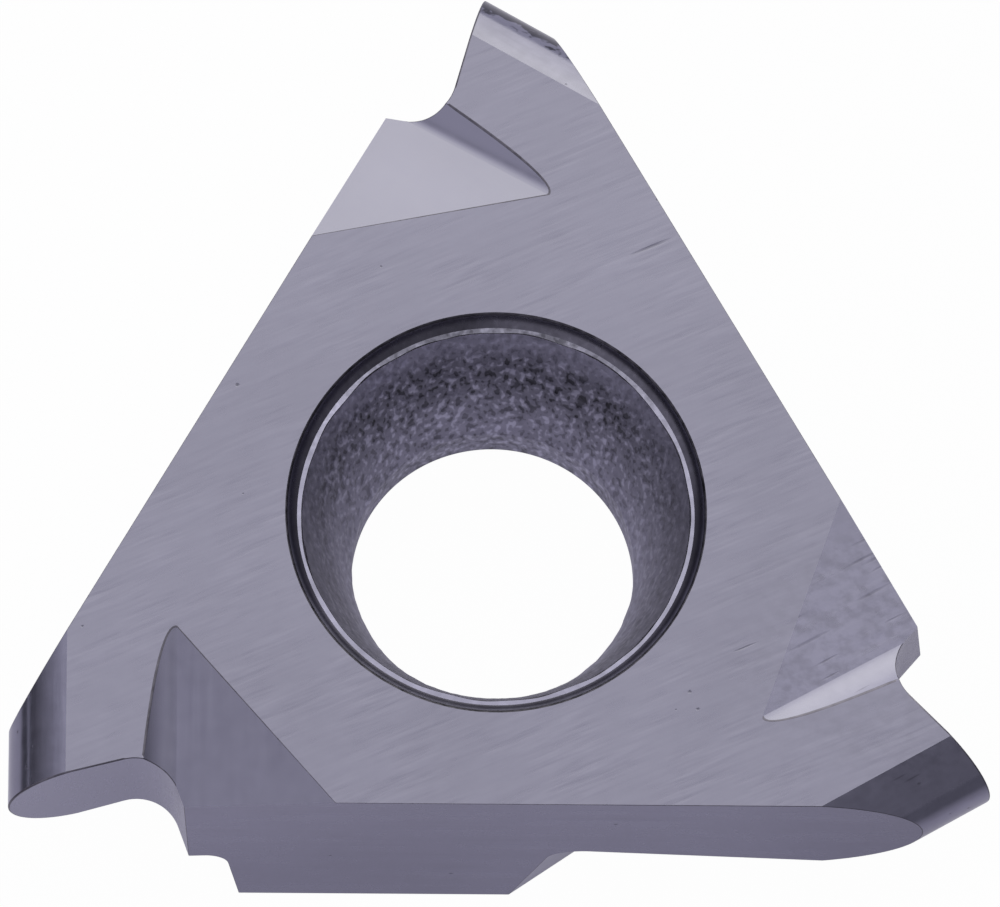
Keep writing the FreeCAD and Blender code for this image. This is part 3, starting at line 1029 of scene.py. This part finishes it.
# %% World
DIM = 0.285
HORIZON = 0.12
BRIGHT = 1.245
FRONT_LEFT = 0.66
FRONT_RIGHT = 0.26
HIGH_RIGHT = 0.17
BOX_SLANT = -0.45
BEHIND = (0.08, 0.50)
NOT_LEFT = (-0.95, 0.0)
NOT_RIGHT = (0.60, 0.10)
TO_RIGHT = (0.05, 0.35)
HIGH_UP = (0.45, 0.80)
OFF_HORIZON = (0.05, 0.60)
FRONT_TURN = (-0.16, 0.14)
IN_FRONT = (0.18, 0.09)
WARMING = (0.6, 1.6)
COOL_LIGHT = (0.985, 0.97, 1.08, 1.0)
WARM_LIGHT = (1.0, 1.0, 0.90, 1.0)

world = bpy.data.worlds.new("light_tent")
bpy.context.scene.world = world
tree = new_tree(world)
ray = add(tree, "ShaderNodeTexCoord").outputs["Generated"]
direction = add(tree, "ShaderNodeSeparateXYZ", {0: ray}).outputs

behind = ramp(direction["Y"], *BEHIND)
not_left = ramp(direction["X"], *NOT_LEFT)
slanted = math_node(tree, "MULTIPLY_ADD", direction["Y"], BOX_SLANT, direction["X"])
not_right = ramp(slanted, *NOT_RIGHT)
softbox = times(times(behind, times(not_left, not_right)), BRIGHT)
high_right = times(ramp(direction["X"], *TO_RIGHT), ramp(direction["Z"], *HIGH_UP))
from_horizon = ramp(direction["Z"], *OFF_HORIZON, HORIZON, DIM)
back_half = math_node(tree, "MULTIPLY_ADD", high_right, HIGH_RIGHT, from_horizon)
front_half = ramp(direction["X"], *FRONT_TURN, FRONT_LEFT, FRONT_RIGHT)
in_front = ramp(direction["Y"], *IN_FRONT)
tent = add(tree, "ShaderNodeMix", {"Factor": in_front, "A": back_half, "B": front_half}).outputs[0]
level = math_node(tree, "ADD", softbox, tent)
light_colour = blend_colour(ramp(level, *WARMING, kind="LINEAR"), COOL_LIGHT, WARM_LIGHT)
tent_light = add(tree, "ShaderNodeBackground", {"Color": light_colour, "Strength": level})
add(tree, "ShaderNodeOutputWorld", {"Surface": tent_light.outputs[0]})
print("world has", len(tree.nodes), "nodes")

# %% [markdown]
# ## Floor
# The part lies on a small white card on a grey table. The card is what brightens the lower
# strip of each nose and the walls; it grows shadier to the left and to the right, painted shade
# in its colour and in its glow. Beyond it the table is much darker, most of all on the left, and
# only behind, towards the soft light, is it as pale as the card, which is painted light. For the
# camera both are plain white, which a Light Path node does: rays from the camera and through
# glass, and part of those from gloss, meet a white glow. Otherwise the floor is an ordinary matt
# surface that takes the part's shadow. Sizes here are in metres.

# %% White card on a grey table
FLOOR_HALF = 0.6
FLOOR_GAP = 0.000004
CARD_EDGE = 0.0155
TABLE_START = 0.023
CARD_CENTRE = (-0.002, 0.001, 0.0)
WHITE_SHARE = 0.98
GLOSS_SHARE = 0.30
PLAIN_WHITE = (1.0, 1.0, 1.0, 1.0)
COOL_WHITE = (0.98, 0.96, 1.08, 1.0)
TABLE_LEFT = 0.16
TABLE_RIGHT = 0.30
# Painted light: the table is paler behind, where the soft light would fall.
TABLE_PAINTED_LIGHT_BEHIND = 0.62
TABLE_ACROSS = (-0.020, -0.008)
TABLE_BACKWARDS = (0.008, 0.020)
TABLE_BLUE = 1.1
CARD_LIGHT = (0.86, 0.84, 0.93, 1.0)
CARD_SHADY = (0.70, 0.685, 0.76, 1.0)
SHADY = (0.006, 0.012)
SHADY_GLOSS = 0.17

bm = bmesh.new()
bmesh.ops.create_grid(bm, x_segments=8, y_segments=8, size=FLOOR_HALF)
bmesh.ops.translate(bm, verts=bm.verts, vec=(0, 0, -FLOOR_GAP))
floor_mesh = bpy.data.meshes.new("floor")
bm.to_mesh(floor_mesh)
bm.free()
floor = new_object("floor", floor_mesh)

paper = bpy.data.materials.new("white_card")
tree = new_tree(paper)
place = add(tree, "ShaderNodeTexCoord").outputs["Object"]
far_out = vector_node(tree, "DISTANCE", place, CARD_CENTRE)
off_card = ramp(far_out, CARD_EDGE, TABLE_START)
table_axes = add(tree, "ShaderNodeSeparateXYZ", {0: place}).outputs
# Painted light: the table's tone rises behind the part, towards the soft light.
table_tone = math_node(tree, "ADD", ramp(table_axes["X"], *TABLE_ACROSS, TABLE_LEFT, TABLE_RIGHT),
                       ramp(table_axes["Y"], *TABLE_BACKWARDS, 0.0, TABLE_PAINTED_LIGHT_BEHIND))
table_colour = add(tree, "ShaderNodeCombineXYZ", {
    "X": table_tone, "Y": table_tone, "Z": times(table_tone, TABLE_BLUE)}).outputs[0]
sideways = math_node(tree, "ABSOLUTE", math_node(tree, "SUBTRACT", table_axes["X"], CARD_CENTRE[0]))
# Painted shade: the card's colour and its glow in gloss fall off to the sides.
card_colour = blend_colour(ramp(sideways, *SHADY), CARD_LIGHT, CARD_SHADY)
gloss_share = ramp(sideways, *SHADY, GLOSS_SHARE, SHADY_GLOSS)
matt_colour = blend_colour(off_card, card_colour, table_colour)
matt = add(tree, "ShaderNodeBsdfDiffuse", {"Color": matt_colour}).outputs[0]
rays = add(tree, "ShaderNodeLightPath").outputs
glow_colour = blend_colour(rays["Is Glossy Ray"], PLAIN_WHITE, COOL_WHITE)
glow = add(tree, "ShaderNodeEmission", {"Color": glow_colour, "Strength": 1.0}).outputs[0]
on_card = math_node(tree, "SUBTRACT", 1.0, off_card)
seen_in_gloss = times(rays["Is Glossy Ray"], times(on_card, gloss_share))
seen_plainly = math_node(tree, "ADD", rays["Is Camera Ray"], rays["Is Transmission Ray"])
white = math_node(tree, "MULTIPLY_ADD", seen_plainly, WHITE_SHARE, seen_in_gloss)
surface = add(tree, "ShaderNodeMixShader", {0: white, 1: matt, 2: glow}).outputs[0]
add(tree, "ShaderNodeOutputMaterial", {"Surface": surface})
floor_mesh.materials.append(paper)
print("floor is", 2 * FLOOR_HALF, "m wide")

# %% [markdown]
# ## Camera
# The picture was taken from far away with a long lens, from 18.7 degrees off the front face's
# own direction, on the side of the lower edge. The numbers come from fitting a camera to the
# three like corners and the hole's rim. The camera's turn is written as the three turns that
# take the part into the camera's view, and then undone.

# %% Camera
TILT = math.radians(-18.67)
SWING = math.radians(1.01)
ROLL = math.radians(-0.11)
DISTANCE = 301.3
PIXELS_PER_MM = 48.293
AIM = Vector((-0.08, -1.199, 0.0))
PICTURE_WIDTH = 1000
SENSOR = 36.0

to_view = (Matrix.Rotation(ROLL, 4, "Z") @ Matrix.Rotation(TILT, 4, "X")
           @ Matrix.Rotation(SWING, 4, "Y"))
from_view = to_view.transposed()
eye = from_view @ Vector((-AIM.x, -AIM.y, DISTANCE)) + Vector((0, 0, THICKNESS))
camera_data = bpy.data.cameras.new("long_lens")
camera_data.sensor_width = SENSOR
camera_data.lens = PIXELS_PER_MM * DISTANCE * SENSOR / PICTURE_WIDTH
camera_data.clip_start = 0.01
camera_data.clip_end = 10.0
camera = new_object("long_lens", camera_data)
camera.matrix_world = Matrix.Translation(eye * MM) @ from_view
bpy.context.scene.camera = camera
bpy.context.scene.view_settings.view_transform = "Standard"
print("lens in mm", round(camera_data.lens, 1), "eye in mm", [round(value, 1) for value in eye])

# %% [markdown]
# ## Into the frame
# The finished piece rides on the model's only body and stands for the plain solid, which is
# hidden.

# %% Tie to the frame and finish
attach(insert, "root")
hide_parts("grooving_insert")
